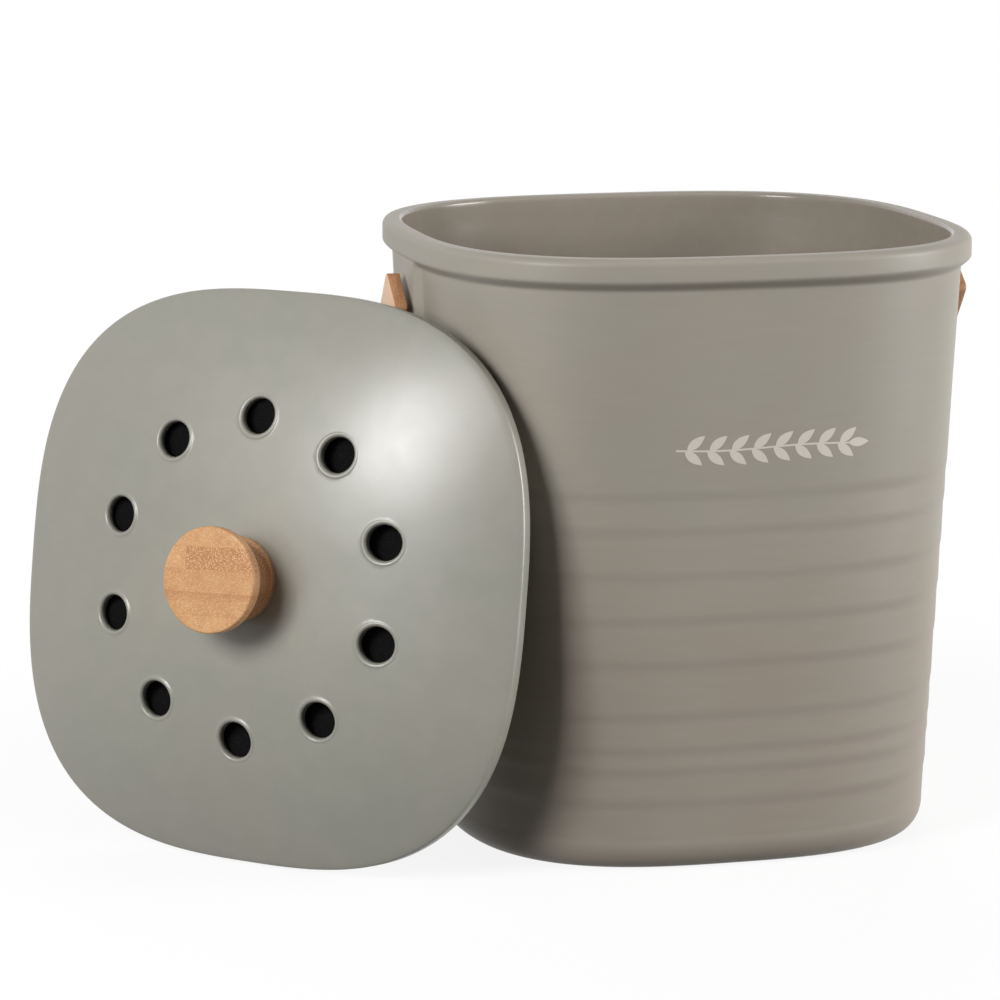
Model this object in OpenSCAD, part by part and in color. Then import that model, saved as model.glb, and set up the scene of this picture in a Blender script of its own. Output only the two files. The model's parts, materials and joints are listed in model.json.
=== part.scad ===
// Kitchen caddy: a tapered rounded-square bucket with stepped ribs, a bent bamboo bail handle,
// and a loose domed lid with ten vents, a turned knob and a felt filter behind a twist-off cover.
// Origin on the floor under the middle of the bucket, +X to the bucket's right, front towards -Y.

/* [Bucket] */
// Width of the rim across the flats
rim_w = 198; // [170:1:240]
// Height of the bucket
bucket_h = 213; // [170:1:260]
// How much narrower the wall is at the foot than under the rim
wall_draw = 20.4; // [8:0.2:34]
// Thickness of the wall
wall_t = 3.7; // [2.6:0.1:5]
// Thickness of the bucket's floor
floor_t = 3.6; // [2.4:0.1:6]
// Squareness of the plan, where 2 is a circle
squareness = 2.85; // [2.3:0.05:4]
// Height of the rim band
band_h = 8.6; // [6:0.2:14]
// How far the rim band stands out from the wall
band_out = 3.2; // [1.5:0.1:5]
// Radius of the rounding at the foot
foot_r = 10; // [5:0.5:16]
// Height of the recess under the foot
foot_recess = 1.6; // [0.8:0.1:3]
// Depth of each rib step on the lower wall
rib_step = 0.8; // [0.3:0.05:1.4]

/* [Handle] */
// Distance of the pivots below the top of the rim
pivot_drop = 33; // [26:0.5:50]
// Width of the bent strip
strip_w = 18; // [12:0.5:26]
// Thickness of the bent strip
strip_t = 4.6; // [3:0.1:7]
// Length of the strip beyond each pivot
strip_end = 18; // [11:0.5:24]
// Distance from the pivots to the inside of the grip
handle_reach = 159; // [130:1:200]
// Outer radius of the two bends
bend_r = 72; // [40:1:90]
// Radius of the cut corners at the strip's ends
strip_corner_r = 2.4; // [1:0.2:4]

/* [Pivots] */
// Width of the raised pad that carries each pivot
pad_w = 32; // [24:1:44]
// How far the pad's face stays inside the rim band's face
pad_inset = 1; // [0.4:0.1:1.4]
// Thickness of the spacer between pad and strip
spacer_t = 2.4; // [1.8:0.1:4]
// Diameter of the spacer
spacer_d = 14; // [10:0.5:20]
// Diameter of the screw's shoulder, on which the strip turns
shoulder_d = 6.4; // [5.4:0.1:8]
// Diameter of the screw's thread
thread_d = 5; // [4:0.5:5]
// Diameter of the screw's head
head_d = 11; // [9:0.5:15]
// Thickness of the screw's head
head_t = 2.6; // [1.8:0.1:4]
// Diameter of the washer inside the bucket
washer_d = 13; // [10:0.5:18]
// Thickness of the washers
washer_t = 1; // [0.6:0.1:2]
// Width across the flats of the cap nuts
nut_af = 8; // [7:0.5:10]
// Length of the cap nuts
nut_l = 8.5; // [7:0.5:12]
// Running clearance round the shoulder
turn_gap = 0.05; // [0.02:0.01:0.1]

/* [Lid] */
// Width of the lid across the flats
lid_w = 197.4; // [160:0.2:240]
// Height of the lid's upright edge
edge_h = 5; // [3:0.2:9]
// Rise of the dome above the edge
dome_h = 18.6; // [10:0.2:30]
// Fullness of the dome, where 2 is a parabola
dome_power = 2.45; // [2:0.05:4]
// Thickness of the lid's shell
lid_t = 3; // [2:0.1:4]
// Depth of the spigot that drops into the bucket
spigot_h = 8; // [5:0.5:12]
// Thickness of the spigot
spigot_t = 2.6; // [1.8:0.1:4]
// Clearance round the spigot when the lid is on the bucket
spigot_gap = 1; // [0.5:0.1:2]
// Number of vents
vent_count = 10; // [6:1:12]
// Diameter of the vents
vent_d = 13.2; // [6:0.2:14]
// Diameter of the circle through the vents
vent_circle_d = 111; // [90:1:120]

/* [Knob] */
// Diameter of the knob's head
knob_d = 36.2; // [28:0.1:44]
// Height of the knob
knob_h = 20; // [17:0.5:30]
// Diameter of the knob's base
knob_base_d = 29; // [20:0.5:32]
// Diameter of the knob's neck
knob_neck_d = 19; // [16:0.5:22]
// Diameter of the threaded insert in the knob
insert_d = 8; // [7:0.5:10]
// Length of the threaded insert
insert_l = 11; // [8:0.5:13]

/* [Filter] */
// Diameter of the felt filter
filter_d = 131; // [120:1:150]
// Thickness of the felt filter
filter_t = 6; // [4:0.5:7]
// Clearance round the filter in its wall
filter_gap = 0.7; // [0.4:0.1:1.5]
// Thickness of the wall round the filter
filter_wall_t = 2; // [1.4:0.1:3]
// Thickness of the filter cover
cover_t = 2.4; // [1.8:0.1:3]
// Reach of the lugs that hold the cover
lug_reach = 2.4; // [1.6:0.1:3.4]
// Half the angle that each lug spans
lug_half_angle = 11; // [6:1:16]
// Diameter of the holes in the cover
cover_hole_d = 8; // [4:0.5:10]

/* [Lid at rest] */
// Where the lid is: leaning on the bucket, or on the bucket
lid_place = "leaning"; // [leaning, seated]
// Compass direction that the leaning lid faces, from +X towards +Y
lean_azimuth = -133.2; // [-160:0.2:-110]
// How far the leaning lid tips back from upright
lean_angle = 9; // [5:0.5:14]
// How far the leaning lid stands to its own left of the bucket's axis
lean_side = 91.7; // [60:0.5:110]
// Gap left between the leaning lid and the bucket
lean_gap = 0.4; // [0.3:0.1:1]

/* [Hidden] */

clay = "#989187";
bamboo = "#d8ab7c";
steel = "#c4c6c8";
felt = "#161616";

plan_steps = 64;
bore_steps = 48;
eps = 0.01;

// Bucket profile
rim_half = rim_w / 2;
wall_top_half = rim_half - band_out;
wall_foot_half = wall_top_half - wall_draw / 2;
band_z = bucket_h - band_h;
wall_slope = (wall_top_half - wall_foot_half) / band_z;
band_blend = 3.4;
lip_r = 2.6;
lip_inner_r = 1.4;
floor_z = foot_recess + floor_t;
inner_foot_r = foot_r - 1;
foot_in = foot_r * 0.72;
foot_ring_w = 6;
foot_ring_in = wall_foot_half - foot_in - foot_ring_w;
foot_ease = 1;
// Share of the height up to the rim band at which each rib step lies
rib_shares = [0.12, 0.175, 0.21, 0.27, 0.36, 0.435, 0.51, 0.587, 0.645];
rib_blend = 0.9;
// Points across one rib step, as shares of its blend in height and of its depth
rib_shape = [[-1, -0.45], [-0.25, -0.25], [0.5, 0.5]];
// Points up the cove under the rim band, as shares of its depth and of its blend in height
band_shape = [[0, -1], [0.3, -0.35], [0.85, 0.1]];
band_edge = 1.6;

// Handle and pivots
pivot_z = bucket_h - pivot_drop;
pad_face = rim_half - pad_inset;
strip_in = pad_face + spacer_t;
strip_out = strip_in + strip_t;
bore_fit = 0.1;
boss_rise = 0.5;
bore_d = thread_d + 2 * bore_fit;
turn_d = shoulder_d + 2 * turn_gap;
pad_bottom_z = pivot_z - pad_w / 2;
boss_d = washer_d + 3;
boss_face = wall_half(pivot_z) - wall_t - wall_slope * boss_d / 2 - boss_rise;
nut_face = boss_face - washer_t;
thread_end = nut_face - nut_l + 2;
end_float = 0.15;
socket_af = 4;
socket_depth = 1.2;
nut_flange = 3.6;
nut_dome = 3;
// Turn about the pivots at which the grip's lower corner meets the back of the bucket
swing_back = back_angle();

// Lid, in its own frame: the seat is at z = 0, with the dome above and the spigot below
lid_half = lid_w / 2;
edge_ease = 0.6;
cover_gap = 0.3;
spigot_half = inner_half(bucket_h - spigot_h) - spigot_gap;
spigot_in = spigot_half - spigot_t;
flat_share = (knob_base_d / 2 + 1) / lid_half;
knob_seat_z = dome_z(flat_share);
under_z = knob_seat_z - lid_t;
filter_wall_in = filter_d / 2 + filter_gap;
filter_wall_out = filter_wall_in + filter_wall_t;
filter_top_z = dome_z(filter_wall_in / lid_half) - lid_t - cover_gap;
filter_bottom_z = filter_top_z - filter_t;
cover_top_z = filter_bottom_z - cover_gap;
cover_bottom_z = cover_top_z - cover_t;
lug_t = 1.6;
ledge_t = 1.4;
lug_z = cover_top_z - lug_t;
ledge_z = lug_z - cover_gap - ledge_t;
cover_r = filter_wall_in - lug_reach - cover_gap;
lug_count = 3;
grip_l = 44;
grip_w = 6;
grip_h = 4;
screw_hole_d = thread_d + 0.6;
screw_head_d = 9.5;
screw_head_t = 2.8;
screw_up = 9;

// Knob
knob_base_t = 2.6;
knob_head_t = 5;
knob_round = 1.8;
knob_flare_in = 1.5;

// Bucket's outer half width on the plain taper, and its inner half width
function wall_half(z) = wall_foot_half + wall_slope * z;
function inner_half(z) = wall_half(min(z, band_z)) - wall_t;
// Bucket's half width with its ribs and rim band, as seen by what leans on it
function outer_half(z) = z < band_z - band_blend ? wall_half(z) + rib_step / 2 : lookup(z, concat(
    [
        for (point = band_shape)
            let (up = band_z + band_blend * point[1])
            [up, wall_half(up) + band_out * point[0]]
    ],
    [[band_z + band_edge, rim_half]]
));

// Height of the dome's outside at a share of the way from the middle to the edge
function dome_z(share) = edge_h + dome_h * (1 - pow(share, dome_power));

// One rounded-square outline of a half width, at a height
function ring(half, z) = [
    for (i = [0 : plan_steps - 1])
        let (a = 360 * i / plan_steps)
        let (r = half * pow(pow(abs(cos(a)), squareness) + pow(abs(sin(a)), squareness), -1 / squareness))
        [r * cos(a), r * sin(a), z]
];

// True where a point lies inside the rounded-square outline
function inside(x, y, half) = pow(abs(x / half), squareness) + pow(abs(y / half), squareness) < 1;

// A quarter round between two profile points, as [half width, height] pairs
function quarter(cx, cz, rx, rz, from, to, count) = [
    for (i = [0 : count])
        let (a = from + (to - from) * i / count)
        [cx + rx * cos(a), cz + rz * sin(a)]
];

// The stepped ribs: each one stands out at its foot and steps in just below
function rib_profile() = [
    for (share = rib_shares)
        let (z = share * band_z)
        for (point = rib_shape)
            [wall_half(z + point[0] * rib_blend) + point[1] * rib_step, z + point[0] * rib_blend]
];

// Profile of the bucket from the middle of its underside, up the outside and down the inside
bucket_profile = concat(
    [
        [foot_ring_in - foot_ease * 1.5, foot_recess],
        [foot_ring_in, foot_ease * 0.3],
        [foot_ring_in + foot_ease, 0],
        [wall_foot_half - foot_in, 0]
    ],
    quarter(wall_half(foot_r) - foot_in, foot_r, foot_in, foot_r, -72, 0, 5),
    rib_profile(),
    [[wall_half(band_z * 0.8), band_z * 0.8]],
    [
        for (point = band_shape)
            let (z = band_z + point[1] * band_blend)
            [wall_half(z) + band_out * point[0], z]
    ],
    [[rim_half, band_z + band_edge]],
    quarter(rim_half - lip_r, bucket_h - lip_r, lip_r, lip_r, 0, 90, 4),
    quarter(inner_half(band_z) + lip_inner_r, bucket_h - lip_inner_r, lip_inner_r, lip_inner_r, 90, 180, 3),
    [
        [inner_half(band_z), band_z],
        [inner_half(band_z * 0.5), band_z * 0.5],
        [inner_half(floor_z + inner_foot_r), floor_z + inner_foot_r]
    ],
    quarter(inner_half(floor_z + inner_foot_r) - inner_foot_r, floor_z + inner_foot_r,
        inner_foot_r, inner_foot_r, -15, -90, 5)
);

// Profile of the lid from the middle of its underside, out and round to the middle of its top
under_shares = [0.3, 0.45, 0.58, 0.7, 0.8];
dome_shares = [0.985, 0.95, 0.9, 0.84, 0.77, 0.69, 0.6, 0.5, 0.4, 0.28];
lid_profile = concat(
    [[flat_share * lid_half, under_z]],
    [for (share = under_shares) [share * lid_half, dome_z(share) - lid_t]],
    [
        [spigot_in - edge_ease, dome_z(spigot_in / lid_half) - lid_t],
        [spigot_in, dome_z(spigot_in / lid_half) - lid_t - edge_ease * 2],
        [spigot_in - edge_ease / 2, edge_ease * 1.5 - spigot_h],
        [spigot_in + edge_ease / 2, -spigot_h],
        [spigot_half - edge_ease * 1.5, -spigot_h],
        [spigot_half - edge_ease / 2, edge_ease - spigot_h],
        [spigot_half, 0],
        [lid_half - edge_ease, 0],
        [lid_half, edge_ease],
        [lid_half, edge_h - edge_ease],
        [lid_half - edge_ease, edge_h]
    ],
    [for (share = dome_shares) [share * lid_half, dome_z(share)]],
    [[flat_share * lid_half, knob_seat_z]]
);

// Solid between rings that follow one another along a profile, closed by a flat face at each end
module loft(profile) {
    rings = [for (p = profile) ring(p[0], p[1])];
    count = len(rings);
    polyhedron(
        points = [for (r = rings) for (p = r) p],
        faces = concat(
            [[for (i = [0 : plan_steps - 1]) i]],
            [
                for (k = [0 : count - 2])
                    for (i = [0 : plan_steps - 1])
                        let (j = (i + 1) % plan_steps)
                        let (low = k * plan_steps, high = (k + 1) * plan_steps)
                        for (tri = [[low + i, high + i, high + j], [low + i, high + j, low + j]])
                            tri
            ],
            [[for (i = [plan_steps - 1 : -1 : 0]) (count - 1) * plan_steps + i]]
        )
    );
}

// A cylinder along X from one place to another
module rod(d, from, to) {
    translate([min(from, to), 0, 0])
        rotate([0, 90, 0])
            cylinder(h = abs(to - from), d = d, $fn = bore_steps);
}

// A round-nosed head along X, flat at its inner end
module domed_rod(d, from, to, dome) {
    translate([from, 0, 0])
        rotate([0, 90, 0])
            rotate_extrude($fn = bore_steps)
                intersection() {
                    translate([0, to - from - dome_radius(d, dome)])
                        circle(r = dome_radius(d, dome), $fn = 96);
                    square([d / 2, to - from]);
                }
}
function dome_radius(d, dome) = (d * d / 4 + dome * dome) / (2 * dome);

// Places a part at the right pivot, or mirrored at the left one
module at_pivot(side) {
    translate([0, 0, pivot_z])
        mirror([side == "left" ? 1 : 0, 0, 0])
            children();
}

// The raised pad under the rim band, and the flat boss inside it
module pivot_pad() {
    pad_root = (inner_half(band_z) + wall_half(pad_bottom_z)) / 2;
    translate([pad_root, 0, pivot_z])
        rotate([90, 0, 90])
            linear_extrude(height = pad_face - pad_root)
                union() {
                    circle(d = pad_w, $fn = 96);
                    translate([-pad_w / 2, 0])
                        square([pad_w, band_z + band_h / 2 - pivot_z]);
                }
    translate([0, 0, pivot_z])
        rod(boss_d, boss_face, wall_half(pivot_z) - wall_t / 2);
}

module bucket() {
    color(clay)
        difference() {
            union() {
                loft(bucket_profile);
                pivot_pad();
                mirror([1, 0, 0])
                    pivot_pad();
            }
            translate([0, 0, pivot_z])
                rod(bore_d, -rim_half - 1, rim_half + 1);
        }
}

// Angle of the hanging handle behind straight down, where its grip rests on the bucket's back
function grip_corner(a) = [
    handle_reach * sin(a) - strip_w / 2 * cos(a),
    pivot_z - handle_reach * cos(a) - strip_w / 2 * sin(a)
];
function back_angle(a = 20) =
    grip_corner(a)[0] > wall_half(grip_corner(a)[1]) + rib_step + lean_gap ? a : back_angle(a + 0.1);

// Outline of a bent strip's arch, seen along Y, filled down to its free ends
module arch(half, top, r) {
    translate([-half, -strip_end])
        square([2 * half, top - r + strip_end]);
    translate([r - half, 0])
        square([2 * (half - r), top]);
    for (side = [-1, 1])
        translate([side * (half - r), top - r])
            circle(r = r, $fn = 128);
}

module handle_upright() {
    top = handle_reach + strip_t;
    difference() {
        intersection() {
            rotate([90, 0, 0])
                linear_extrude(height = strip_w, center = true)
                    difference() {
                        arch(strip_out, top, bend_r);
                        translate([0, -eps])
                            arch(strip_in, handle_reach + eps, bend_r - strip_t);
                        translate([-strip_in, -strip_end - 1])
                            square([2 * strip_in, strip_end + 1]);
                    }
            rotate([90, 0, 90])
                linear_extrude(height = 2 * strip_out + 2, center = true)
                    union() {
                        translate([-strip_w / 2, strip_corner_r - strip_end])
                            square([strip_w, top + strip_end]);
                        translate([strip_corner_r - strip_w / 2, -strip_end])
                            square([strip_w - 2 * strip_corner_r, strip_corner_r * 2]);
                        for (side = [-1, 1])
                            translate([side * (strip_w / 2 - strip_corner_r), strip_corner_r - strip_end])
                                circle(r = strip_corner_r, $fn = 48);
                    }
        }
        rod(turn_d, -strip_out - 1, strip_out + 1);
    }
}

module handle() {
    color(bamboo)
        translate([0, 0, pivot_z])
            rotate([swing_back - 180, 0, 0])
                handle_upright();
}

module pivot_screw(side) {
    head_in = strip_out + end_float;
    color(steel)
        at_pivot(side)
            difference() {
                union() {
                    rod(thread_d, thread_end, pad_face + 1);
                    rod(shoulder_d, pad_face, head_in + head_t / 2);
                    domed_rod(head_d, head_in, head_in + head_t, head_t * 0.7);
                }
                translate([head_in + head_t - socket_depth, 0, 0])
                    rotate([0, 90, 0])
                        cylinder(h = socket_depth + 1, d = socket_af / cos(30), $fn = 6);
            }
}

module handle_spacer(side) {
    color(steel)
        at_pivot(side)
            difference() {
                rod(spacer_d, pad_face, strip_in);
                rod(turn_d, pad_face - 1, strip_in + 1);
            }
}

module inner_washer(side) {
    color(steel)
        at_pivot(side)
            difference() {
                rod(washer_d, nut_face, boss_face);
                rod(bore_d, nut_face - 1, boss_face + 1);
            }
}

module cap_nut(side) {
    color(steel)
        at_pivot(side)
            difference() {
                union() {
                    translate([nut_face - nut_flange, 0, 0])
                        rotate([0, 90, 0])
                            cylinder(h = nut_flange, d = nut_af / cos(30), $fn = 6);
                    mirror([1, 0, 0])
                        domed_rod(nut_af - 0.6, nut_flange / 2 - nut_face, nut_l - nut_face, nut_dome);
                }
                rod(thread_d, thread_end - 0.5, nut_face + 1);
            }
}

// The lid's frame at rest: standing on its edge and leaning on the bucket, or on the rim
lean_facing = [cos(lean_azimuth), sin(lean_azimuth)];
lean_right = [-lean_facing[1], lean_facing[0]];
lean_z = lid_half * cos(lean_angle);
lean_step = 3;
// Distance in front of the bucket's axis at which nothing behind the lid meets the bucket
function standoff(guess) = max([
    for (z = [foot_r : lean_step : bucket_h])
        for (q = ring(outer_half(z), z))
            let (across = q[0] * lean_right[0] + q[1] * lean_right[1] + lean_side)
            let (out = q[0] * lean_facing[0] + q[1] * lean_facing[1])
            let (up = (guess - out) * sin(lean_angle) + (q[2] - lean_z) * cos(lean_angle))
            let (depth = inside(across, up, spigot_half) ? spigot_h : 0)
            if (inside(across, up, lid_half))
                out + ((q[2] - lean_z) * sin(lean_angle) + depth + lean_gap) / cos(lean_angle)
]);
lean_out = standoff(standoff(rim_half * 1.2));

module place_lid() {
    if (lid_place == "seated") {
        translate([0, 0, bucket_h])
            children();
    } else {
        translate([
            lean_out * lean_facing[0] - lean_side * lean_right[0],
            lean_out * lean_facing[1] - lean_side * lean_right[1],
            lean_z
        ])
            rotate([0, 0, lean_azimuth + 90])
                rotate([90 - lean_angle, 0, 0])
                    children();
    }
}

// A sector of a flat ring, for the cover's lugs and the ledges that hold them
module ring_sector(inner_r, outer_r, half_angle, z, h) {
    reach = outer_r * 1.2;
    translate([0, 0, z])
        linear_extrude(height = h)
            intersection() {
                difference() {
                    circle(r = outer_r, $fn = 128);
                    circle(r = inner_r, $fn = 128);
                }
                polygon([
                    [0, 0],
                    [reach * cos(half_angle), -reach * sin(half_angle)],
                    [reach * cos(half_angle), reach * sin(half_angle)]
                ]);
            }
}

// The round wall that holds the filter, up to the middle of the shell, with its three ledges
module filter_wall() {
    out_share = filter_wall_out / lid_half;
    difference() {
        intersection() {
            loft(concat(
                [[filter_wall_out * 1.1, ledge_z]],
                [for (k = [1.06, 0.96, 0.86]) [k * filter_wall_out, dome_z(k * out_share) - lid_t / 2]]
            ));
            cylinder(h = under_z + lid_t, r = filter_wall_out, $fn = 128);
        }
        cylinder(h = under_z + lid_t, r = filter_wall_in, $fn = 128);
    }
    for (i = [0 : lug_count - 1])
        rotate([0, 0, 360 * i / lug_count])
            ring_sector(filter_wall_in - lug_reach, filter_wall_in + filter_wall_t / 2,
                lug_half_angle + 1, ledge_z, ledge_t);
}

module lid() {
    color(clay)
        place_lid()
            difference() {
                union() {
                    loft(lid_profile);
                    filter_wall();
                }
                for (i = [0 : vent_count - 1])
                    rotate([0, 0, 90 - 360 * i / vent_count])
                        translate([vent_circle_d / 2, 0, filter_top_z])
                            cylinder(h = dome_h + edge_h, d = vent_d, $fn = bore_steps);
                translate([0, 0, under_z - 1])
                    cylinder(h = lid_t + 2, d = screw_hole_d, $fn = bore_steps);
            }
}

module knob() {
    r = knob_d / 2;
    neck = knob_neck_d / 2;
    base = knob_base_d / 2;
    waist_h = knob_h - knob_head_t - knob_base_t;
    color(bamboo)
        place_lid()
            translate([0, 0, knob_seat_z])
                difference() {
                    rotate_extrude($fn = 96)
                        polygon(concat(
                            [
                                [0, 0],
                                [base - edge_ease, 0],
                                [base, edge_ease],
                                [base, knob_base_t - edge_ease],
                                [base - edge_ease, knob_base_t]
                            ],
                            [for (a = [0 : 0.125 : 1])
                                let (low = (base - knob_flare_in - neck) * pow(1 - a, 3))
                                let (high = (r - knob_flare_in - neck) * pow(a, 3))
                                [neck + low + high, knob_base_t + waist_h * a]],
                            [
                                [r - edge_ease, knob_h - knob_head_t + edge_ease],
                                [r, knob_h - knob_head_t + edge_ease * 2]
                            ],
                            quarter(r - knob_round, knob_h - knob_round, knob_round, knob_round, 0, 90, 5),
                            [[0, knob_h]]
                        ));
                    translate([0, 0, -1])
                        cylinder(h = insert_l + 1.5, d = insert_d, $fn = bore_steps);
                }
}

module knob_insert() {
    color("#b08a45")
        place_lid()
            translate([0, 0, knob_seat_z])
                difference() {
                    cylinder(h = insert_l, d = insert_d, $fn = bore_steps);
                    translate([0, 0, -1])
                        cylinder(h = insert_l + 2, d = thread_d, $fn = bore_steps);
                }
}

module knob_washer() {
    color(steel)
        place_lid()
            translate([0, 0, under_z - washer_t])
                difference() {
                    cylinder(h = washer_t, d = washer_d, $fn = bore_steps);
                    translate([0, 0, -1])
                        cylinder(h = washer_t + 2, d = screw_hole_d, $fn = bore_steps);
                }
}

module knob_screw() {
    color(steel)
        place_lid()
            translate([0, 0, under_z - washer_t])
                difference() {
                    union() {
                        cylinder(h = washer_t + lid_t + screw_up, d = thread_d, $fn = bore_steps);
                        mirror([0, 0, 1])
                            rotate([0, -90, 0])
                                domed_rod(screw_head_d, 0, screw_head_t, screw_head_t * 0.8);
                    }
                    translate([0, 0, -screw_head_t - 1])
                        cylinder(h = screw_head_t, d = socket_af / cos(30), $fn = 6);
                }
}

module carbon_filter() {
    color(felt)
        place_lid()
            translate([0, 0, filter_bottom_z])
                cylinder(h = filter_t, d = filter_d, $fn = 128);
}

// Rings of holes through the cover, from near its middle to near its edge
module cover_holes() {
    pitch = cover_hole_d * 1.55;
    first = grip_l / 2 + cover_hole_d * 0.9;
    for (r = [first : pitch : cover_r - cover_hole_d * 0.75]) {
        count = floor(2 * PI * r / pitch);
        for (i = [0 : count - 1])
            rotate([0, 0, 360 * i / count])
                translate([r, 0, cover_bottom_z - 1])
                    cylinder(h = cover_t + 2, d = cover_hole_d, $fn = 24);
    }
}

module filter_cover() {
    color("#3a3a38")
        place_lid()
            union() {
                difference() {
                    translate([0, 0, cover_bottom_z])
                        cylinder(h = cover_t, r = cover_r, $fn = 128);
                    cover_holes();
                }
                for (i = [0 : lug_count - 1])
                    rotate([0, 0, 360 * i / lug_count])
                        ring_sector(cover_r - 2, filter_wall_in - cover_gap, lug_half_angle, lug_z, lug_t);
                translate([-grip_l / 2, -grip_w / 2, cover_bottom_z - grip_h])
                    cube([grip_l, grip_w, grip_h + cover_t / 2]);
            }
}

bucket();
handle();
pivot_screw("left");  // pivot_screw_left
pivot_screw("right");  // pivot_screw_right
handle_spacer("left");  // handle_spacer_left
handle_spacer("right");  // handle_spacer_right
inner_washer("left");  // inner_washer_left
inner_washer("right");  // inner_washer_right
cap_nut("left");  // cap_nut_left
cap_nut("right");  // cap_nut_right
lid();
knob();
knob_insert();
knob_screw();
knob_washer();
carbon_filter();
filter_cover();
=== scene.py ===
"""A kitchen caddy: ribbed bucket, bent bamboo handle and a leaning domed lid, laid out as an add-on.

Each operator makes one piece or one group of like pieces round the frame, and main() calls them in order.
"""
import json
import math
from math import cos, pi, radians, sin

import bmesh
import bpy
from bpy.props import FloatProperty, FloatVectorProperty, IntProperty, PointerProperty
from mathutils import Euler, Matrix, Vector
from mathutils.geometry import delaunay_2d_cdt


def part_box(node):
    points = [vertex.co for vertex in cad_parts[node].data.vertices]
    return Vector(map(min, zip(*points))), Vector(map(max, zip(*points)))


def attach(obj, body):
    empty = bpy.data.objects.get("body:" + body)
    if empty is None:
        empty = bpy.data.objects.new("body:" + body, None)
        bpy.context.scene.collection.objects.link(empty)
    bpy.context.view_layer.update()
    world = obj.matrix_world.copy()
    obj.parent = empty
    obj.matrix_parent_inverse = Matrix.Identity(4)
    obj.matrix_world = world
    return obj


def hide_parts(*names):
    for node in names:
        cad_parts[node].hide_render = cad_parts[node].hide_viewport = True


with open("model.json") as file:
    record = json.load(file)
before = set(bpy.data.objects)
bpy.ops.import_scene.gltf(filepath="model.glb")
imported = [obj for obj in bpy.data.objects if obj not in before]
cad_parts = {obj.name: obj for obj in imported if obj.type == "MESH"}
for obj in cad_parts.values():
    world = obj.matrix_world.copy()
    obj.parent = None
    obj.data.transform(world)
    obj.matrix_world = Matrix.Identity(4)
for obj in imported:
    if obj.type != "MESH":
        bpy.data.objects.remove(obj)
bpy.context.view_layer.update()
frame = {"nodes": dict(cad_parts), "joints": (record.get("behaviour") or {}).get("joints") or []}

bl_info = {
    "name": "Kitchen caddy",
    "version": (1, 0, 0),
    "blender": (4, 5, 0),
    "location": "View3D > Sidebar > Caddy",
    "description": "Makes a ribbed caddy bucket with a bamboo handle and a vented lid",
    "category": "Object",
}

MM = 0.001
BODY = "bucket_body"
HANDLE = "handle_body"
LID = "lid_body"
COVER = "cover_body"
GRAIN = "grain"
CUT = "cut"
BUCKET_LOW, BUCKET_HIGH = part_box("bucket")
JOINTS = {joint["name"]: joint for joint in frame["joints"]}
PIVOT_Z = JOINTS["handle_swing"]["pos_m"][2]
# Share of the height up to the rim band at which each rib step lies
RIB_SHARES = (0.12, 0.175, 0.21, 0.27, 0.36, 0.435, 0.51, 0.587, 0.645)


def length(name, description, default):
    """A length in metres, given in millimetres."""
    return FloatProperty(
        name=name, description=description, default=default * MM, min=0.0, max=1.0, unit="LENGTH", precision=5
    )


def colour(name, description, code):
    """A colour given as it looks on screen, kept as the linear value that a shader takes."""
    screen = [int(code[i:i + 2], 16) / 255 for i in (0, 2, 4)]
    linear = [c / 12.92 if c <= 0.04045 else ((c + 0.055) / 1.055) ** 2.4 for c in screen]
    return FloatVectorProperty(
        name=name, description=description, default=linear, size=3, min=0.0, max=1.0, subtype="COLOR"
    )


class CaddyBucketSizes(bpy.types.PropertyGroup):
    rim_width: length("Rim width", "Width of the rim across the flats", (BUCKET_HIGH[0] - BUCKET_LOW[0]) / MM)
    height: length("Height", "Height of the bucket", BUCKET_HIGH[2] / MM)
    squareness: FloatProperty(
        name="Squareness", description="Squareness of the plan, where 2 is a circle", default=2.85, min=2.0)
    wall_draw: length("Wall draw", "How much narrower the wall is at the foot than under the rim", 20.4)
    wall: length("Wall", "Thickness of the wall", 3.7)
    floor: length("Floor", "Height of the floor inside above what the bucket stands on", 5.2)
    recess: length("Foot recess", "Height of the recess under the foot", 1.6)
    foot: length("Foot radius", "Radius of the rounding at the foot", 10.0)
    band_height: length("Rim band height", "Height of the rim band", 8.6)
    band_out: length("Rim band depth", "How far the rim band stands out from the wall", 3.2)
    lip: length("Rim rounding", "Radius of the rounding on the outside of the rim", 2.6)
    rib_step: length("Rib step", "Depth of each rib step", 0.36)
    rib_soft: length("Rib softness", "Half the height over which a rib step turns", 3.0)
    pad_width: length("Pad width", "Width of the raised pad that carries each pivot", 32.0)
    pad_inset: length("Pad inset", "How far the pad's face stays inside the rim band's face", 1.0)
    boss: length("Boss diameter", "Diameter of the flat boss inside each pad", 16.0)


class CaddyHandleSizes(bpy.types.PropertyGroup):
    width: length("Strip width", "Width of the bent strip", 18.0)
    thickness: length("Strip thickness", "Thickness of the bent strip", 4.6)
    reach: length("Reach", "Distance from the pivots to the inside of the grip", 159.0)
    end: length("Free end", "Length of the strip beyond each pivot", 18.0)
    bend: length("Bend radius", "Outer radius of the two bends", 72.0)
    corner: length("Corner radius", "Radius of the cut corners at the strip's ends", 2.4)
    edge: length("Edge radius", "Radius sanded on the long edges", 0.6)


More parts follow.
